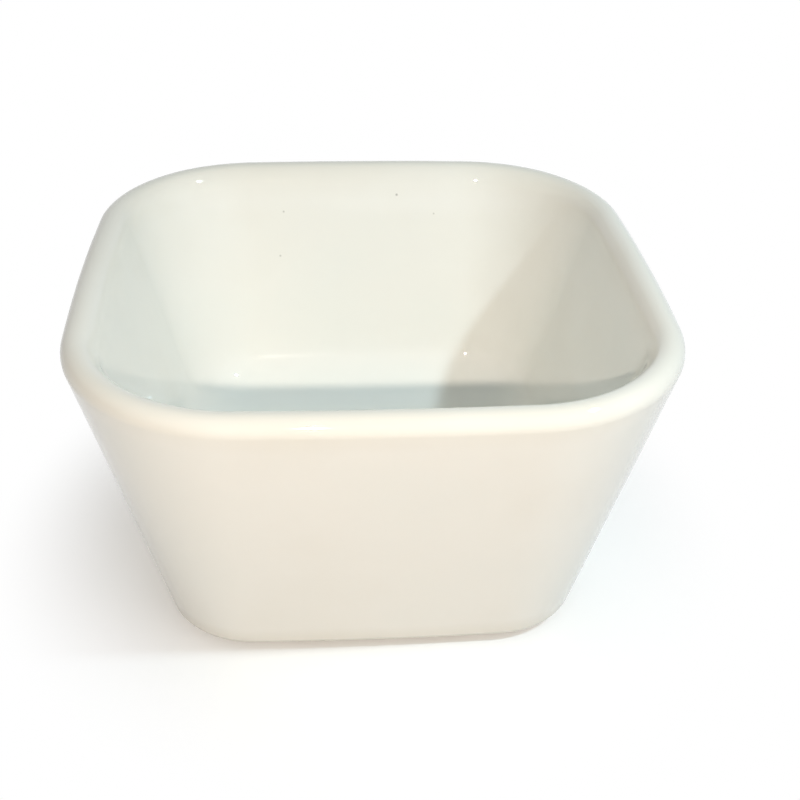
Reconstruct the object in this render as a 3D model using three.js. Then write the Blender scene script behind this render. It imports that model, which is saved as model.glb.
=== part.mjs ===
// A square snack bowl of glazed porcelain, in millimetres, +Z up, with its origin on the table under
// the middle of the bowl.
//
// The clay is one casting: four leaning walls with a round lip, a floor, and a low foot ring underneath.
// Glaze covers all of it but the foot ring, which is wiped bare so that it doesn't stick in the kiln.
// The bare ring parts the glaze in two: a coat over the inside, the lip and the outside, and a patch
// in the recess under the floor.
//
// Every level section of the bowl is a square with round corners, and all those corners turn about the
// same four upright axes. So one upright profile, carried round the square that joins the four axes,
// gives each solid. A point of the profile is [out, up]: its distance out from that core square, and
// its height above the table.

import * as THREE from "three";

// Outside
const rimWidth = 120; // across the flats, at the widest line of the lip
const rimCornerRadius = 36; // seen from above, at the same line
const baseWidth = 87; // across the flats, where the outside walls would reach the table
const height = 67; // from the table to the top of the lip

// Clay and glaze
const lipRadius = 2.6; // clay only, over the top of the lip
const lipEaseRadius = 7; // clay only, wider round from the lip into the inside
const lipEaseStart = (3 * Math.PI) / 4; // way that the clay faces where that round starts
const floorThickness = 8.3; // clay only
const floorCornerRadius = 2; // of the flat part of the floor, seen from above
const glazeThickness = 0.4;
const heelRadius = 3; // round edge under the walls

// Foot ring
const footHeight = 1.2; // the rest of the underside stands this far off the table
const footSetback = 2; // from the heel's lowest line in to the ring
const footWidth = 4;
const footEdgeRadius = 0.5;
const recessHeight = 3; // the clay inside the ring stands this far off the table
const glazeMargin = 0.4; // bare clay between the ring's corners and the glaze

// Facets
const cornerSteps = 10;
const footEdgeSteps = 2;
const heelSteps = 5;
const lipSteps = 4; // up to its top
const lipBackSteps = 2; // from its top to the ease
const easeSteps = 3;
const filletSteps = 8;

// Finishes
const clayLook = { color: 0xe6dfd0, roughness: 0.8, metalness: 0 };
const glazeLook = { color: 0xefe9d9, roughness: 0.12, metalness: 0 };

// Ways that the clay faces in the profile, as angles from straight out
const down = -Math.PI / 2;
const inward = -Math.PI;
const outward = 0;
const up = Math.PI / 2;

// The core square, and the line of the outside wall: it starts at the base and touches the lip's round.
const coreHalf = rimWidth / 2 - rimCornerRadius;
const baseOut = baseWidth / 2 - coreHalf;
const glazedLipRadius = lipRadius + glazeThickness;
const lipOut = rimCornerRadius - glazedLipRadius;
const lipUp = height - glazedLipRadius;
const lipReach = Math.hypot(lipOut - baseOut, lipUp);
const lean = Math.atan2(lipOut - baseOut, lipUp) + Math.asin(glazedLipRadius / lipReach);

// The ease runs on from the lip's round, and ends on the inside wall, which lies along the outside wall.
const easeOut = lipOut + (lipRadius - lipEaseRadius) * Math.cos(lipEaseStart);
const easeUp = lipUp + (lipRadius - lipEaseRadius) * Math.sin(lipEaseStart);
const wallThickness =
  lipRadius + lipEaseRadius + (lipEaseRadius - lipRadius) * Math.cos(lipEaseStart + lean);

// How far out a point at some height lies, when it is a depth inside the outside face of the wall.
function outAt(pointUp, depth) {
  return baseOut + (pointUp * Math.sin(lean) - depth) / Math.cos(lean);
}

const floorUp = recessHeight + floorThickness;
const heelUp = footHeight + heelRadius;
const heelOut = outAt(heelUp, glazeThickness + heelRadius);
const footOuter = heelOut - footSetback;
const footInner = footOuter - footWidth;
const coatEdge = footOuter + footEdgeRadius + glazeMargin;
const patchEdge = footInner - footEdgeRadius - glazeMargin;

// A hollow round joins the inside walls to the floor, and is as large as the floor's flat part leaves room for.
const floorRoom = outAt(floorUp, glazeThickness + wallThickness) - floorCornerRadius;
const filletRadius = (floorRoom * Math.cos(lean)) / (1 - Math.sin(lean));
const filletUp = floorUp + filletRadius;
const filletOut = floorCornerRadius;

// The ways that a round stretch faces at its points, from its start to its end.
function fan(start, end, steps) {
  return Array.from({ length: steps + 1 }, (_, step) => start + ((end - start) * step) / steps);
}

// The rounds of the clay's profile, in order from the recess to the floor, joined by straight stretches.
// Each has its centre, its radius, which is less than zero where it is hollow, and the ways it faces.
const edge = footEdgeRadius;
const footRounds = [
  [footInner - edge, recessHeight - edge, -edge, fan(down, inward, footEdgeSteps)],
  [footInner + edge, edge, edge, fan(inward, down, footEdgeSteps)],
  [footOuter - edge, edge, edge, fan(down, outward, footEdgeSteps)],
  [footOuter + edge, footHeight - edge, -edge, fan(outward, down, footEdgeSteps)],
];
const lipFacings = [-lean, ...fan(outward, up, lipSteps), ...fan(up, lipEaseStart, lipBackSteps).slice(1)];
const coatedRounds = [
  [heelOut, heelUp, heelRadius, fan(down, -lean, heelSteps)],
  [lipOut, lipUp, lipRadius, lipFacings],
  [easeOut, easeUp, lipEaseRadius, fan(lipEaseStart, Math.PI - lean, easeSteps).slice(1)],
  [filletOut, filletUp, -filletRadius, fan(Math.PI - lean, up, filletSteps)],
];

// The points along some rounds of the clay, or of a skin that lies a thickness over the clay.
function trace(rounds, over = 0) {
  return rounds.flatMap(([outMiddle, upMiddle, radius, facings]) =>
    facings.map((facing) => {
      const reach = radius + over;
      return [outMiddle + reach * Math.cos(facing), upMiddle + reach * Math.sin(facing)];
    }),
  );
}

// The places round the core square from which a profile point is set out, corner by corner.
const stations = [0, 1, 2, 3].flatMap((quarter) => {
  const diagonal = ((quarter + 0.5) * Math.PI) / 2;
  const x = Math.sign(Math.cos(diagonal)) * coreHalf;
  const y = Math.sign(Math.sin(diagonal)) * coreHalf;
  return Array.from({ length: cornerSteps + 1 }, (_, step) => {
    const turn = ((quarter + step / cornerSteps) * Math.PI) / 2;
    return { x, y, cos: Math.cos(turn), sin: Math.sin(turn) };
  });
});

// Carries a profile round the core square into a closed solid. The profile runs from the middle of the
// solid's lower face, at lowUp, to the middle of its upper face, at highUp, with the solid on its left.
// Each four-sided facet is split from its lower edge, so that two skins on the same profile points have
// the same triangles and meet with no overlap.
function sweep(lowUp, profile, highUp) {
  const around = stations.length;
  const positions = [0, 0, lowUp, 0, 0, highUp];
  for (const [out, pointUp] of profile) {
    for (const { x, y, cos, sin } of stations) {
      positions.push(x + out * cos, y + out * sin, pointUp);
    }
  }
  const vertex = (point, station) => 2 + point * around + (station % around);
  const last = profile.length - 1;
  const triangles = [];
  for (let station = 0; station < around; station++) {
    triangles.push(0, vertex(0, station + 1), vertex(0, station));
    triangles.push(1, vertex(last, station), vertex(last, station + 1));
    for (let point = 0; point < last; point++) {
      const here = vertex(point, station);
      const beside = vertex(point, station + 1);
      const above = vertex(point + 1, station);
      const across = vertex(point + 1, station + 1);
      const [outHere, upHere] = profile[point];
      const [outAbove, upAbove] = profile[point + 1];
      const rises = upAbove > upHere || (upAbove === upHere && outAbove > outHere);
      if (rises) {
        triangles.push(here, beside, across, here, across, above);
      } else {
        triangles.push(here, beside, above, beside, across, above);
      }
    }
  }
  const geometry = new THREE.BufferGeometry();
  geometry.setAttribute("position", new THREE.Float32BufferAttribute(positions, 3));
  geometry.setIndex(triangles);
  geometry.computeVertexNormals();
  return geometry;
}

function porcelainBody() {
  const profile = [...trace(footRounds), ...trace(coatedRounds)];
  return sweep(recessHeight, profile, floorUp);
}

// The coat follows the clay from the floor, over the lip, to its edge near the foot, and comes back over
// its own shiny face.
function glazeCoat() {
  const clayFace = [[coatEdge, footHeight], ...trace(coatedRounds)];
  const shinyFace = [[coatEdge, footHeight - glazeThickness], ...trace(coatedRounds, glazeThickness)];
  return sweep(floorUp, [...clayFace.reverse(), ...shinyFace], floorUp + glazeThickness);
}

// The patch thins out at its rim.
function recessGlaze() {
  const profile = [
    [patchEdge - glazeThickness, recessHeight - glazeThickness],
    [patchEdge, recessHeight],
  ];
  return sweep(recessHeight - glazeThickness, profile, recessHeight);
}

function piece(name, geometry, look) {
  const mesh = new THREE.Mesh(geometry, new THREE.MeshStandardMaterial(look));
  mesh.name = name;
  return mesh;
}

const bowl = new THREE.Group();
bowl.name = "snack_bowl";
bowl.add(piece("porcelain_body", porcelainBody(), clayLook));
bowl.add(piece("glaze_coat", glazeCoat(), glazeLook));
bowl.add(piece("recess_glaze", recessGlaze(), glazeLook));

export default bowl;
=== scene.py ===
import math
from collections import namedtuple
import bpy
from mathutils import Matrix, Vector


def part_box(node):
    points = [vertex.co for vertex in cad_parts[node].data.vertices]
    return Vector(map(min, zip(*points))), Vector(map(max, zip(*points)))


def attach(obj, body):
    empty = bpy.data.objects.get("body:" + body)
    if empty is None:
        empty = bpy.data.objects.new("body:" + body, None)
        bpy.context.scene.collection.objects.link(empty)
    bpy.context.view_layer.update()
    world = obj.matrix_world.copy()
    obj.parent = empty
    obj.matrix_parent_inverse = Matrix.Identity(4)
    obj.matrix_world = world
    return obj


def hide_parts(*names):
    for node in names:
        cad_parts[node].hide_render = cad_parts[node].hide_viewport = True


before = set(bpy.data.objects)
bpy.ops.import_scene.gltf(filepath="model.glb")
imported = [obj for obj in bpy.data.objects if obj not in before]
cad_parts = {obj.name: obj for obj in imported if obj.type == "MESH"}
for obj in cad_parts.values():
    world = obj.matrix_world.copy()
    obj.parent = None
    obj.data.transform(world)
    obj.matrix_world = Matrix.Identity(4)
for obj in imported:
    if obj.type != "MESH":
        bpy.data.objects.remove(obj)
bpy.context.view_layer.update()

from types import SimpleNamespace

import bmesh
import bpy
from mathutils import Euler, Matrix, Vector

bl_info = {
    "name": "Square Snack Bowl",
    "version": (1, 0, 0),
    "blender": (4, 5, 0),
    "location": "View3D > Sidebar > Snack Bowl",
    "description": "Models a square snack bowl of glazed porcelain and a plain studio around it",
    "category": "Add Mesh",
}

# The bowl stands on the table with its middle over the origin, in metres, +Z up and its front towards -Y.
# Every level section is a square with round corners, and all those corners turn about the same four
# upright axes. So each piece is drawn as one upright profile in the middle of a side and spun round the
# bowl: along each side about a far centre, and round each corner about its axis. The far centres bow the
# sides by half a millimetre, as a casting does, so no long glint runs along the middle of the back.

BODY = "root"
MM = 0.001
COAT_LOW, COAT_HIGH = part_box("glaze_coat")
CLAY_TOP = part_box("porcelain_body")[1].z
RECESS_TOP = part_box("recess_glaze")[1].z
FRAME_GLAZE = COAT_HIGH.z - CLAY_TOP
BOWL_MIDDLE = (COAT_LOW + COAT_HIGH) / 2

# Ways that the surface faces in the profile, as angles from straight out
DOWN = -math.pi / 2
INWARD = -math.pi
OUTWARD = 0.0
UP = math.pi / 2

# Steps of the finished surfaces
ROUND_STEP = math.radians(7.5)
WALL_STEP = 4 * MM
HALF_SIDE_STEPS = 6
CORNER_STEPS = 24
FILL_RINGS = 9
EDGE_STEPS = 3
SHARP_EDGE = math.radians(60)
WELD = 0.01 * MM

# Depth of the glaze away from lip, heel and floor, on a scale from thin, 0, to pooled, 1
USUAL_DEPTH = 0.5

# Finish and patterns of the glaze
GLAZE_IOR = 1.52
CLOUD_SIZE = 30 * MM
CLOUD_RANGE = (0.3, 0.7)
CLOUD_SHIFT = 0.12
RUN_SIZE = 16 * MM
RIPPLE_SIZE = 9 * MM
RIPPLE_DEPTH = 0.02 * MM
GLOSS_SPREAD = 0.015
SPECK_CORE = 0.15 * MM
SPECK_RIM = 0.4 * MM
SPECK_STRENGTH = 0.5

# Places of the iron specks in the glaze, on the inside of the back wall
SPECKS = [
    (-18.5 * MM, 51.3 * MM, 56.3 * MM),
    (-19.6 * MM, 48.5 * MM, 45.6 * MM),
    (9.6 * MM, 52.3 * MM, 60.1 * MM),
    (18.9 * MM, 51.1 * MM, 55.5 * MM),
]

# Finish and grit of the bare clay. The real grains are a few times finer, and are drawn this coarse to show.
CLAY_IOR = 1.5
CLAY_ROUGHNESS = 0.85
GRIT_SIZE = 0.8 * MM
GRIT_DEPTH = 0.08 * MM
GRIT_STRENGTH = 0.6
GRIT_RANGE = (0.35, 0.6)

# The studio's white paper, and how far from the bowl's middle its shadow starts to fade and is gone
PAPER_WIDTH = 6.0
PAPER_WHITE = 0.95
SHADOW_START = 42 * MM
SHADOW_END = 88 * MM
WHITE = (1, 1, 1, 1)

SENSOR_WIDTH = 36  # millimetres, as the camera counts it
NEAREST_SEEN = 10 * MM

# Sockets of a Mix node that mixes colours
MIX_FIRST, MIX_SECOND, MIX_RESULT = 6, 7, 2

# A round stretch of a profile: its centre, its radius, less than zero where it is hollow, and the ways
# that it faces at its start and end
Round = namedtuple("Round", "out up radius start end")


def linear(hex_colour):
    """The linear red, green and blue of an sRGB hex colour."""
    shares = (int(hex_colour[i : i + 2], 16) / 255 for i in (1, 3, 5))
    return tuple(s / 12.92 if s <= 0.04045 else ((s + 0.055) / 1.055) ** 2.4 for s in shares)


def clamp(value):
    """A value held between 0 and 1."""
    return min(max(value, 0), 1)


def length(name, description, default):
    """A property that holds a length."""
    return bpy.props.FloatProperty(
        name=name, description=description, default=default, min=0, precision=5,
        unit="LENGTH", subtype="DISTANCE",
    )


def angle(name, description, degrees):
    """A property that holds an angle."""
    return bpy.props.FloatProperty(
        name=name, description=description, default=math.radians(degrees),
        unit="ROTATION", subtype="ANGLE",
    )


def colour(name, description, hex_colour):
    """A property that holds the colour of a surface."""
    return bpy.props.FloatVectorProperty(
        name=name, description=description, default=linear(hex_colour), min=0, max=1, subtype="COLOR",
    )


def share(name, description, default):
    """A property that holds a part of one."""
    return bpy.props.FloatProperty(
        name=name, description=description, default=default, min=0, max=1, subtype="FACTOR",
    )


def place(name, description, millimetres):
    """A property that holds a place in the studio."""
    return bpy.props.FloatVectorProperty(
        name=name, description=description, default=[value * MM for value in millimetres], precision=4,
        unit="LENGTH", subtype="TRANSLATION",
    )


def level(name, description, default):
    """A property that holds the strength of a light."""
    return bpy.props.FloatProperty(name=name, description=description, default=default, min=0)


def tint(name, description, default):
    """A property that holds the linear colour of a light."""
    return bpy.props.FloatVectorProperty(
        name=name, description=description, default=default, subtype="COLOR",
    )


class BowlSizes(bpy.types.PropertyGroup):
    """Sizes of the bowl"""

    rim_width: length("Rim width", "Across the flats at the lip", COAT_HIGH.x - COAT_LOW.x)
    rim_corner: length("Rim corner", "Corner radius of the rim, seen from above", 34.3 * MM)
    bow: length("Bow", "How far the sides bulge between the corners", 0.5 * MM)
    base_width: length("Base width", "Across the flats where the walls would reach the table", 87 * MM)
    height: length("Height", "From the table to the top of the lip", COAT_HIGH.z)
    lip: length("Lip", "Round of the clay over the top of the lip", 2.6 * MM)
    lip_ease: length("Lip ease", "Wider round of the clay from the lip into the inside", 7 * MM)
    ease_start: angle("Ease start", "Way that the clay faces where the wider round starts", 135)
    floor: length("Floor", "Thickness of the clay in the floor", 8.3 * MM)
    floor_corner: length("Floor corner", "Corner radius of the floor's flat part, seen from above", 0.3 * MM)
    glaze: length("Glaze", "Thickness of the glaze", FRAME_GLAZE)
    glaze_flow: length("Glaze flow", "How much thinner the glaze lies where it ran", 0.12 * MM)
    glaze_edge: length("Glaze edge", "Round of the glaze where it stops near the foot", FRAME_GLAZE / 3)
    glaze_margin: length("Glaze margin", "Bare clay between the foot ring and the glaze", 0.4 * MM)
    heel: length("Heel", "Round edge under the walls", 3 * MM)
    foot_height: length("Foot height", "From the table to the underside", COAT_LOW.z + FRAME_GLAZE)
    foot_setback: length("Foot setback", "From the heel's lowest line in to the foot ring", 2 * MM)
    foot_width: length("Foot width", "Across the foot ring's own band", 4 * MM)
    foot_edge: length("Foot edge", "Round of the foot ring's edges", 0.5 * MM)
    recess: length("Recess", "From the table to the clay inside the foot ring", RECESS_TOP)


class GlazeLook(bpy.types.PropertyGroup):
    """Colours and finish of the glaze and of the bare clay"""

    ivory: colour("Ivory", "The glaze at its usual depth", "#F0EEE7")
    # Partly thin glaze over the clay and partly painted shade: this colour is darker so that the lamp-lit lip
    # shows less bright.
    thin_glaze_and_shade: colour("Thin glaze", "The glaze where it runs thin on the lip and heel", "#E8E4D9")
    pooled: colour("Pooled glaze", "The glaze where it pools on the floor", "#EAECE6")
    speck: colour("Speck", "Iron specks in the glaze", "#6E675C")
    clay: colour("Clay", "The bare fired clay", "#DDD5C6")
    grime: colour("Grime", "The foot ring where it has stood on tables", "#BDB3A2")
    gloss: share("Glaze roughness", "Roughness of the fired glaze", 0.045)


class StudioSettings(bpy.types.PropertyGroup):
    """Camera and lights"""

    camera_place: place("Camera place", "Where the camera stands", (-13.281, -227.248, 178.256))
    camera_turn: angle("Camera turn", "To the left of straight ahead", -5.139)
    camera_tilt: angle("Camera tilt", "Below the horizon", 32.504)
    camera_roll: angle("Camera roll", "Lean of the camera about its line of sight", 1.576)
    camera_lens: bpy.props.FloatProperty(
        name="Lens", description="Focal length on a 36 mm wide sensor", default=54.245, unit="CAMERA",
    )
    front_place: place("Front lamp place", "Where the front lamp stands, behind the lens", (-24, -328, 221.5))
    front_size: length("Front lamp size", "Across the front lamp", 8 * MM)
    front_level: level("Front lamp", "White that the front lamp alone gives a facing surface", 0.585)
    front_tint: tint("Front tint", "Colour of the front lamp", (1.0, 0.875, 0.755))
    side_place: place("Side lamp place", "Where the side lamp stands", (216.7, -122.6, 313))
    side_size: length("Side lamp size", "Across the side lamp", 20 * MM)
    side_level: level("Side lamp", "White that the side lamp alone gives a facing surface", 0.43)
    side_tint: tint("Side tint", "Colour of the side lamp", (0.735, 0.905, 1.0))
    back_place: place("Back lamp place", "Where the back lamp stands", (0, 900, 150))
    back_size: length("Back lamp size", "Across the back lamp", 250 * MM)
    back_level: level("Back lamp", "White that the back lamp alone gives a facing surface", 0.3)
    back_tint: tint("Back tint", "Colour of the back lamp", (1.0, 1.0, 1.0))
    sky_level: level("Sky", "Strength of the even light", 0.2)
    sky_overhead: level("Overhead", "Further strength of the light from straight above", 0.1)
    sky_tint: tint("Sky tint", "Colour of the even light", (0.88, 0.98, 1.0))
    floor_bounce: share("Floor", "Light that the floor throws back at the bowl", 0.6)


def bowl_lines(sizes):
    """The lines and rounds of the bowl's profile, worked out from its sizes."""
    core = sizes.rim_width / 2 - sizes.rim_corner
    base_out = sizes.base_width / 2 - core
    lip_over = sizes.lip + sizes.glaze
    lip_out = sizes.rim_corner - lip_over
    lip_up = sizes.height - lip_over
    lip_reach = math.hypot(lip_out - base_out, lip_up)
    lean = math.atan2(lip_out - base_out, lip_up) + math.asin(lip_over / lip_reach)
    ease_out = lip_out + (sizes.lip - sizes.lip_ease) * math.cos(sizes.ease_start)
    ease_up = lip_up + (sizes.lip - sizes.lip_ease) * math.sin(sizes.ease_start)
    wall = sizes.lip + sizes.lip_ease + (sizes.lip_ease - sizes.lip) * math.cos(sizes.ease_start + lean)

    def out_at(up, depth):
        """How far out a point at a height lies, when it is a depth inside the wall's outside face."""
        return base_out + (up * math.sin(lean) - depth) / math.cos(lean)

    floor_up = sizes.recess + sizes.floor
    floor_room = out_at(floor_up, sizes.glaze + wall) - sizes.floor_corner
    fillet = floor_room * math.cos(lean) / (1 - math.sin(lean))
    heel_up = sizes.foot_height + sizes.heel
    heel_out = out_at(heel_up, sizes.glaze + sizes.heel)
    foot_outer = heel_out - sizes.foot_setback
    foot_inner = foot_outer - sizes.foot_width
    edge = sizes.foot_edge
    return SimpleNamespace(
        core=core,
        base_out=base_out,
        lean=lean,
        wall=wall,
        floor_up=floor_up,
        fillet=fillet,
        coat_edge=foot_outer + edge + sizes.glaze_margin,
        patch_edge=foot_inner - edge - sizes.glaze_margin,
        foot=[
            Round(foot_inner - edge, sizes.recess - edge, -edge, DOWN, INWARD),
            Round(foot_inner + edge, edge, edge, INWARD, DOWN),
            Round(foot_outer - edge, edge, edge, DOWN, OUTWARD),
            Round(foot_outer + edge, sizes.foot_height - edge, -edge, OUTWARD, DOWN),
        ],
        coated=[
            Round(heel_out, heel_up, sizes.heel, DOWN, -lean),
            Round(lip_out, lip_up, sizes.lip, -lean, sizes.ease_start),
            Round(ease_out, ease_up, sizes.lip_ease, sizes.ease_start, math.pi - lean),
            Round(sizes.floor_corner, floor_up + fillet, -fillet, math.pi - lean, UP),
        ],
    )


def start_piece(name, core, out, up):
    """A new mesh that is one point of a profile, in edit mode."""
    bpy.ops.object.select_all(action="DESELECT")
    bpy.ops.mesh.primitive_plane_add(size=core)
    piece = bpy.context.object
    piece.name = piece.data.name = name
    bpy.ops.object.mode_set(mode="EDIT")
    bpy.ops.mesh.merge(type="CENTER")
    bpy.ops.transform.translate(value=(core + out, 0, up))
    return piece


def draw_profile(name, core, start, rounds, over=0.0):
    """Draws a profile through rounds that lie a thickness over the clay, from a starting point."""
    piece = start_piece(name, core, *start)
    at = start
    for round_ in rounds:
        reach = round_.radius + over
        begin = (round_.out + reach * math.cos(round_.start), round_.up + reach * math.sin(round_.start))
        strokes = math.ceil((math.dist(at, begin) - WELD) / WALL_STEP)
        for _ in range(strokes):
            step = ((begin[0] - at[0]) / strokes, 0, (begin[1] - at[1]) / strokes)
            bpy.ops.mesh.extrude_vertices_move(TRANSFORM_OT_translate={"value": step})
        # Spin turns against the right-hand rule, so about +Y it goes from out towards up.
        bpy.ops.mesh.spin(
            steps=max(2, round(abs(round_.end - round_.start) / ROUND_STEP)),
            angle=round_.end - round_.start,
            center=(core + round_.out, 0, round_.up),
            axis=(0, 1, 0),
        )
        at = (round_.out + reach * math.cos(round_.end), round_.up + reach * math.sin(round_.end))
    return piece


def carry_round(core, bow):
    """Carries the profile in edit mode from the middle of a side round the bowl, and joins its ends."""
    axis = core - bow
    side_radius = (axis**2 + bow**2) / (2 * bow)
    half_side = math.atan2(axis, side_radius - bow)
    side_centre = Vector((core - side_radius, 0, 0))
    corner_centre = Vector((axis, axis, 0))
    bpy.ops.mesh.select_all(action="SELECT")
    for quarter in range(4):
        here = Euler((0, 0, quarter * math.pi / 2)).to_matrix()
        ahead = Euler((0, 0, (quarter + 1) * math.pi / 2)).to_matrix()
        for centre, turn, steps in (
            (here @ side_centre, half_side, HALF_SIDE_STEPS),
            (here @ corner_centre, math.pi / 2 - 2 * half_side, CORNER_STEPS),
            (ahead @ side_centre, half_side, HALF_SIDE_STEPS),
        ):
            bpy.ops.mesh.spin(steps=steps, angle=-turn, center=centre, axis=(0, 0, 1))
    bpy.ops.mesh.select_all(action="SELECT")
    bpy.ops.mesh.remove_doubles(threshold=WELD)


def close_level(piece, up):
    """Fills the open ring at a level with rings that shrink to its middle."""
    bpy.ops.mesh.select_all(action="DESELECT")
    mesh = bmesh.from_edit_mesh(piece.data)
    for edge in mesh.edges:
        edge.select_set(edge.is_boundary and all(abs(point.co.z - up) < WELD for point in edge.verts))
    bmesh.update_edit_mesh(piece.data)
    for ring in range(FILL_RINGS, 1, -1):
        shrink = (ring - 1) / ring
        bpy.ops.mesh.extrude_edges_move()
        bpy.ops.transform.resize(value=(shrink, shrink, 1), center_override=(0, 0, up))
    bpy.ops.mesh.extrude_edges_move()
    bpy.ops.mesh.merge(type="CENTER")


def finish_piece(piece, node, material):
    """Leaves edit mode, and says what a finished piece is."""
    bpy.ops.mesh.select_all(action="SELECT")
    bpy.ops.mesh.normals_make_consistent(inside=False)
    bpy.ops.object.mode_set(mode="OBJECT")
    piece.data.materials.append(material)
    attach(piece, BODY)
    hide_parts(node)


def thicken_glaze(piece, thickness):
    """Gives the glaze its thickness towards the clay, and marks that side as a group of points."""
    piece.vertex_groups.new(name="clay_side")
    bpy.ops.object.modifier_add(type="SOLIDIFY")
    solid = piece.modifiers[-1]
    solid.thickness = thickness
    solid.offset = -1
    solid.use_even_offset = True
    solid.shell_vertex_group = "clay_side"
    bpy.ops.object.modifier_apply(modifier=solid.name)


def round_edge(radius):
    """Rounds the edge where the glaze stops near the foot, the only sharp one of the coat."""
    bpy.ops.object.mode_set(mode="EDIT")
    bpy.ops.mesh.select_mode(type="EDGE")
    bpy.ops.mesh.select_all(action="DESELECT")
    bpy.ops.mesh.edges_select_sharp(sharpness=SHARP_EDGE)
    bpy.ops.mesh.bevel(offset=radius, segments=EDGE_STEPS)
    bpy.ops.mesh.select_mode(type="VERT")
    bpy.ops.object.mode_set(mode="OBJECT")


def run_glaze(piece, flow):
    """Thins the glaze in soft patches, where it ran in the kiln, and leaves its clay side in place."""
    patches = bpy.data.textures.new("glaze_patches", "CLOUDS")
    patches.noise_scale = RUN_SIZE
    patches.noise_depth = 1
    bpy.ops.object.modifier_add(type="DISPLACE")
    run = piece.modifiers[-1]
    run.texture = patches
    run.texture_coords = "LOCAL"
    run.mid_level = 0
    run.strength = -flow
    run.vertex_group = "clay_side"
    run.invert_vertex_group = True
    bpy.ops.object.modifier_apply(modifier=run.name)


def mark_depth(piece, lines, sizes):
    """Marks how deep the glaze lies at each point: thin on the lip and heel, pooled on the floor."""
    floor = lines.floor_up + sizes.glaze
    mark = piece.data.attributes.new("glaze_depth", "FLOAT", "POINT")
    for point, depth in zip(piece.data.vertices, mark.data):
        x, y, z = point.co
        out = math.hypot(max(abs(x) - lines.core, 0), max(abs(y) - lines.core, 0))
        inside = lines.base_out + z * math.tan(lines.lean) - out > lines.wall / 2
        # It pools up to half the height of the inside round.
        pooled = 1 - clamp(2 * (z - floor) / lines.fillet)
        # The lip is marked thin, so it takes the thin colour, which is partly painted shade on the lit lip.
        lip = clamp((z - sizes.height + lines.wall) / lines.wall)
        heel = 1 - clamp((z - sizes.foot_height) / (2 * sizes.heel))
        depth.value = USUAL_DEPTH * (1 + (pooled if inside else -heel) - lip)


def add_node(tree, kind, inputs=(), **settings):
    """Adds a node. An input is a value, or the (node, output) that it is linked from."""
    node = tree.nodes.new(kind)
    for name, value in settings.items():
        setattr(node, name, value)
    for socket, value in dict(inputs).items():
        if isinstance(value, tuple) and isinstance(value[0], bpy.types.Node):
            tree.links.new(value[0].outputs[value[1]], node.inputs[socket])
        else:
            node.inputs[socket].default_value = value
    return node


def new_material(name):
    """An empty node material and its tree."""
    material = bpy.data.materials.new(name)
    material.use_nodes = True
    material.node_tree.nodes.clear()
    return material, material.node_tree


# Feldspar glaze, dipped and fired. The eye sees a smooth glassy skin with small sharp glints that waver a
# little, over an ivory white in soft clouds, warmer where it is thin and cooler where it pools.
# On the lip the thin colour is partly painted shade, which holds the lamp-lit lip down.
def glazed_porcelain(look):
    """The glaze, whose colour follows its depth and holds a few iron specks."""
    material, tree = new_material("feldspar_glaze_fired")
    spot = add_node(tree, "ShaderNodeTexCoord")
    cloud = add_node(
        tree, "ShaderNodeTexNoise", {"Vector": (spot, "Object"), "Scale": 1 / CLOUD_SIZE, "Detail": 2.0},
    )
    depth = add_node(tree, "ShaderNodeAttribute", attribute_name="glaze_depth")
    uneven = add_node(
        tree, "ShaderNodeMapRange",
        {
            "Value": (cloud, "Fac"), "From Min": CLOUD_RANGE[0], "From Max": CLOUD_RANGE[1],
            "To Min": -CLOUD_SHIFT, "To Max": CLOUD_SHIFT,
        },
    )
    depth_here = add_node(
        tree, "ShaderNodeMath", {0: (depth, "Fac"), 1: (uneven, "Result")}, operation="ADD",
    )
    white = add_node(tree, "ShaderNodeValToRGB", {"Fac": (depth_here, "Value")})
    # The thin end is partly thin glaze and partly painted shade on the lit lip.
    white.color_ramp.elements[0].color = (*look.thin_glaze_and_shade, 1)
    white.color_ramp.elements[1].color = (*look.pooled, 1)
    white.color_ramp.elements.new(USUAL_DEPTH).color = (*look.ivory, 1)

    nearest = 1.0
    for speck in SPECKS:
        away = add_node(
            tree, "ShaderNodeVectorMath", {0: (spot, "Object"), 1: speck}, operation="DISTANCE",
        )
        nearer = add_node(tree, "ShaderNodeMath", {0: (away, "Value"), 1: nearest}, operation="MINIMUM")
        nearest = (nearer, "Value")
    iron = add_node(
        tree, "ShaderNodeMapRange",
        {
            "Value": nearest, "From Min": SPECK_CORE, "From Max": SPECK_RIM,
            "To Min": SPECK_STRENGTH, "To Max": 0.0,
        },
    )
    specked = add_node(
        tree, "ShaderNodeMix",
        {"Factor": (iron, "Result"), MIX_FIRST: (white, "Color"), MIX_SECOND: (*look.speck, 1)},
        data_type="RGBA",
    )

    ripple = add_node(
        tree, "ShaderNodeTexNoise", {"Vector": (spot, "Object"), "Scale": 1 / RIPPLE_SIZE, "Detail": 1.0},
    )
    bump = add_node(
        tree, "ShaderNodeBump", {"Height": (ripple, "Fac"), "Strength": 1.0, "Distance": RIPPLE_DEPTH},
    )
    shine = add_node(
        tree, "ShaderNodeMapRange",
        {"Value": (cloud, "Fac"), "To Min": look.gloss - GLOSS_SPREAD, "To Max": look.gloss + GLOSS_SPREAD},
    )
    shader = add_node(
        tree, "ShaderNodeBsdfPrincipled",
        {
            "Base Color": (specked, MIX_RESULT),
            "Roughness": (shine, "Result"),
            "IOR": GLAZE_IOR,
            "Normal": (bump, "Normal"),
        },
    )
    add_node(tree, "ShaderNodeOutputMaterial", {"Surface": (shader, "BSDF")})
    return material


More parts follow.
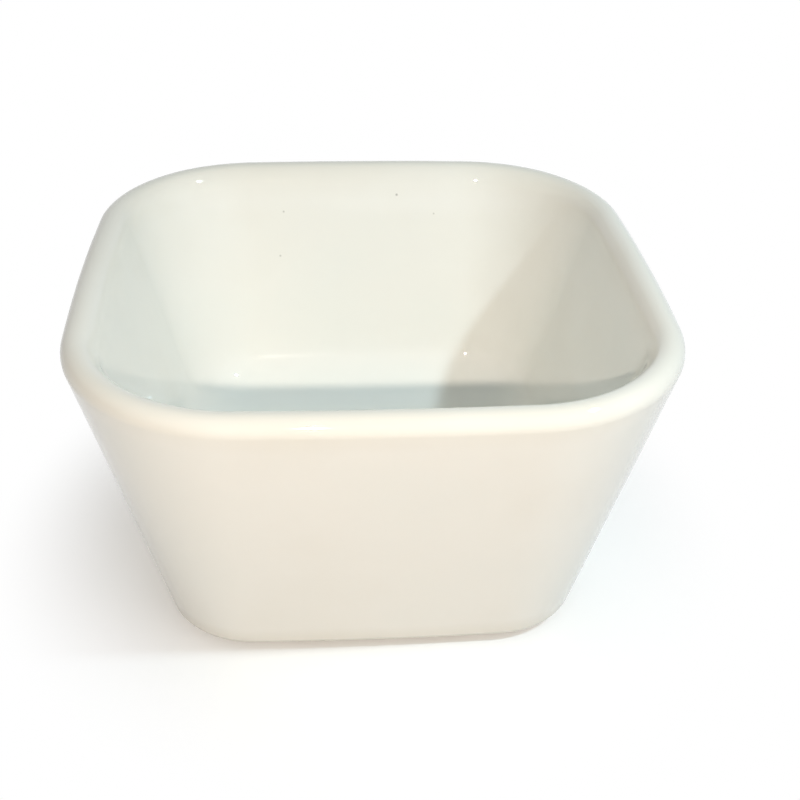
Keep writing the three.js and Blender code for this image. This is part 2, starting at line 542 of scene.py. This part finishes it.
# Fired clay, wiped with a sponge before firing. The eye sees a matt, gritty band, darker where tables have
# rubbed it.
def bare_clay(look):
    """The bare clay of the foot ring."""
    material, tree = new_material("bisque_porcelain_wiped")
    spot = add_node(tree, "ShaderNodeTexCoord")
    grit = add_node(
        tree, "ShaderNodeTexNoise", {"Vector": (spot, "Object"), "Scale": 1 / GRIT_SIZE, "Detail": 4.0},
    )
    tone = add_node(tree, "ShaderNodeValToRGB", {"Fac": (grit, "Fac")})
    for stop, position, shade in zip(tone.color_ramp.elements, GRIT_RANGE, (look.grime, look.clay)):
        stop.position = position
        stop.color = (*shade, 1)
    bump = add_node(
        tree, "ShaderNodeBump",
        {"Height": (grit, "Fac"), "Strength": GRIT_STRENGTH, "Distance": GRIT_DEPTH},
    )
    shader = add_node(
        tree, "ShaderNodeBsdfPrincipled",
        {
            "Base Color": (tone, "Color"),
            "Roughness": CLAY_ROUGHNESS,
            "IOR": CLAY_IOR,
            "Normal": (bump, "Normal"),
        },
    )
    add_node(tree, "ShaderNodeOutputMaterial", {"Surface": (shader, "BSDF")})
    return material


def seen_rays(tree):
    """The output that is 1 where the background is seen: straight, in a gloss or through glass."""
    path = add_node(tree, "ShaderNodeLightPath")
    gloss = add_node(
        tree, "ShaderNodeMath", {0: (path, "Is Camera Ray"), 1: (path, "Is Glossy Ray")},
        operation="MAXIMUM",
    )
    glass = add_node(
        tree, "ShaderNodeMath", {0: (gloss, "Value"), 1: (path, "Is Transmission Ray")},
        operation="MAXIMUM",
    )
    return glass, "Value"


# White paper, cut from a roll. The eye sees an even white ground, which holds the bowl's shadow near the
# bowl and fades to plain white around it.
def white_paper(studio):
    """The floor's paper, which lights the bowl less than it shows."""
    material, tree = new_material("studio_floor_white_paper")
    seen = seen_rays(tree)
    paper = add_node(
        tree, "ShaderNodeMapRange", {"Value": seen, "To Min": studio.floor_bounce, "To Max": PAPER_WHITE},
    )
    shaded = add_node(tree, "ShaderNodeBsdfDiffuse", {"Color": (paper, "Result")})
    plain = add_node(tree, "ShaderNodeEmission", {"Color": WHITE, "Strength": 1.0})
    spot = add_node(tree, "ShaderNodeTexCoord")
    far = add_node(tree, "ShaderNodeVectorMath", {0: (spot, "Object")}, operation="LENGTH")
    fade = add_node(
        tree, "ShaderNodeMapRange",
        {"Value": (far, "Value"), "From Min": SHADOW_START, "From Max": SHADOW_END},
        interpolation_type="SMOOTHSTEP",
    )
    blank = add_node(tree, "ShaderNodeMath", {0: seen, 1: (fade, "Result")}, operation="MULTIPLY")
    mix = add_node(
        tree, "ShaderNodeMixShader",
        {0: (blank, "Value"), 1: (shaded, "BSDF"), 2: (plain, "Emission")},
    )
    add_node(tree, "ShaderNodeOutputMaterial", {"Surface": (mix, "Shader")})
    return material


def add_floor(studio):
    """A wide sheet of white paper under the bowl."""
    bpy.ops.object.select_all(action="DESELECT")
    bpy.ops.mesh.primitive_plane_add(size=PAPER_WIDTH)
    floor = bpy.context.object
    floor.name = "studio_floor"
    floor.data.materials.append(white_paper(studio))


def pale_sky(studio):
    """Even light that grows towards straight above, and shows as plain white."""
    world = bpy.data.worlds.new("studio_sky")
    world.use_nodes = True
    tree = world.node_tree
    tree.nodes.clear()
    spot = add_node(tree, "ShaderNodeTexCoord")
    way = add_node(tree, "ShaderNodeSeparateXYZ", {"Vector": (spot, "Generated")})
    light = add_node(
        tree, "ShaderNodeMapRange",
        {"Value": (way, "Z"), "To Min": studio.sky_level, "To Max": studio.sky_level + studio.sky_overhead},
    )
    seen = seen_rays(tree)
    strength = add_node(
        tree, "ShaderNodeMapRange", {"Value": seen, "To Min": (light, "Result"), "To Max": 1.0},
    )
    shade = add_node(
        tree, "ShaderNodeMix",
        {"Factor": seen, MIX_FIRST: (*studio.sky_tint, 1), MIX_SECOND: WHITE},
        data_type="RGBA",
    )
    sky = add_node(
        tree, "ShaderNodeBackground", {"Color": (shade, MIX_RESULT), "Strength": (strength, "Result")},
    )
    add_node(tree, "ShaderNodeOutputWorld", {"Surface": (sky, "Background")})
    return world


def add_lamp(studio, name, glints=True):
    """Adds the round lamp that the settings have under a name, facing the bowl."""
    stand = getattr(studio, f"{name}_place")
    away = stand - BOWL_MIDDLE
    bpy.ops.object.light_add(
        type="AREA", location=stand, rotation=away.to_track_quat("Z", "Y").to_euler(),
    )
    lamp = bpy.context.object
    lamp.name = lamp.data.name = f"{name}_lamp"
    lamp.data.shape = "DISK"
    lamp.data.size = getattr(studio, f"{name}_size")
    lamp.data.color = getattr(studio, f"{name}_tint")
    # A round lamp of some power lights a white surface that faces it to power / (pi * distance) ** 2.
    lamp.data.energy = getattr(studio, f"{name}_level") * (math.pi * away.length) ** 2
    lamp.visible_glossy = glints


def add_camera(studio):
    """The camera, at the photograph's viewing angle."""
    turn = Euler((math.pi / 2 - studio.camera_tilt, 0, studio.camera_turn)).to_matrix()
    turn = turn @ Matrix.Rotation(studio.camera_roll, 3, "Z")
    bpy.ops.object.camera_add(location=studio.camera_place, rotation=turn.to_euler())
    camera = bpy.context.object
    camera.name = "studio_camera"
    camera.data.sensor_width = SENSOR_WIDTH
    camera.data.lens = studio.camera_lens
    camera.data.clip_start = NEAREST_SEEN
    return camera


class BOWL_OT_porcelain_body(bpy.types.Operator):
    """Model the clay of the bowl, whose foot ring shows bare"""

    bl_idname = "bowl.porcelain_body"
    bl_label = "Porcelain Body"

    def execute(self, context):
        sizes = context.scene.bowl_sizes
        lines = bowl_lines(sizes)
        rounds = lines.foot + lines.coated
        start = (rounds[0].out, sizes.recess)
        piece = draw_profile("clay_body", lines.core, start, rounds)
        carry_round(lines.core, sizes.bow)
        close_level(piece, sizes.recess)
        close_level(piece, lines.floor_up)
        finish_piece(piece, "porcelain_body", bare_clay(context.scene.glaze_look))
        bpy.ops.object.shade_smooth()
        return {"FINISHED"}


class BOWL_OT_glaze_coat(bpy.types.Operator):
    """Model the glaze over the inside, the lip and the outside"""

    bl_idname = "bowl.glaze_coat"
    bl_label = "Glaze Coat"

    def execute(self, context):
        sizes = context.scene.bowl_sizes
        lines = bowl_lines(sizes)
        start = (lines.coat_edge, sizes.foot_height - sizes.glaze)
        piece = draw_profile("glazed_skin", lines.core, start, lines.coated, sizes.glaze)
        carry_round(lines.core, sizes.bow)
        close_level(piece, lines.floor_up + sizes.glaze)
        finish_piece(piece, "glaze_coat", glazed_porcelain(context.scene.glaze_look))
        bpy.ops.object.shade_smooth()
        thicken_glaze(piece, sizes.glaze)
        round_edge(sizes.glaze_edge)
        run_glaze(piece, sizes.glaze_flow)
        mark_depth(piece, lines, sizes)
        return {"FINISHED"}


class BOWL_OT_recess_glaze(bpy.types.Operator):
    """Model the patch of glaze inside the foot ring"""

    bl_idname = "bowl.recess_glaze"
    bl_label = "Recess Glaze"

    def execute(self, context):
        sizes = context.scene.bowl_sizes
        lines = bowl_lines(sizes)
        rim = Round(lines.patch_edge - sizes.glaze, sizes.recess, sizes.glaze, DOWN, OUTWARD)
        start = (rim.out, sizes.recess - sizes.glaze)
        piece = draw_profile("recess_skin", lines.core, start, [rim])
        carry_round(lines.core, sizes.bow)
        close_level(piece, sizes.recess - sizes.glaze)
        close_level(piece, sizes.recess)
        glaze = bpy.data.objects["glazed_skin"].data.materials[0]
        finish_piece(piece, "recess_glaze", glaze)
        bpy.ops.object.shade_smooth_by_angle()
        mark_depth(piece, lines, sizes)
        return {"FINISHED"}


class BOWL_OT_stage(bpy.types.Operator):
    """Set up the pale floor, the sky, the lamps and the camera"""

    bl_idname = "bowl.stage"
    bl_label = "Studio"

    def execute(self, context):
        scene = context.scene
        studio = scene.bowl_studio
        add_floor(studio)
        scene.world = pale_sky(studio)
        add_lamp(studio, "front")
        add_lamp(studio, "side")
        add_lamp(studio, "back", glints=False)
        scene.camera = add_camera(studio)
        scene.view_settings.view_transform = "Standard"
        return {"FINISHED"}


class BOWL_PT_panel(bpy.types.Panel):
    """Steps that make the bowl, and its sizes and looks"""

    bl_idname = "BOWL_PT_panel"
    bl_label = "Snack Bowl"
    bl_space_type = "VIEW_3D"
    bl_region_type = "UI"
    bl_category = "Snack Bowl"

    def draw(self, context):
        for operator in OPERATORS:
            self.layout.operator(operator.bl_idname)
        for group in (context.scene.bowl_sizes, context.scene.glaze_look, context.scene.bowl_studio):
            box = self.layout.box()
            for name in group.__annotations__:
                box.prop(group, name)


OPERATORS = (BOWL_OT_porcelain_body, BOWL_OT_glaze_coat, BOWL_OT_recess_glaze, BOWL_OT_stage)
CLASSES = (BowlSizes, GlazeLook, StudioSettings, *OPERATORS, BOWL_PT_panel)


def register():
    for cls in CLASSES:
        bpy.utils.register_class(cls)
    bpy.types.Scene.bowl_sizes = bpy.props.PointerProperty(type=BowlSizes)
    bpy.types.Scene.glaze_look = bpy.props.PointerProperty(type=GlazeLook)
    bpy.types.Scene.bowl_studio = bpy.props.PointerProperty(type=StudioSettings)


def unregister():
    del bpy.types.Scene.bowl_studio
    del bpy.types.Scene.glaze_look
    del bpy.types.Scene.bowl_sizes
    for cls in reversed(CLASSES):
        bpy.utils.unregister_class(cls)


def main():
    register()
    bpy.ops.bowl.porcelain_body()
    bpy.ops.bowl.glaze_coat()
    bpy.ops.bowl.recess_glaze()
    bpy.ops.bowl.stage()


if __name__ == "__main__":
    main()
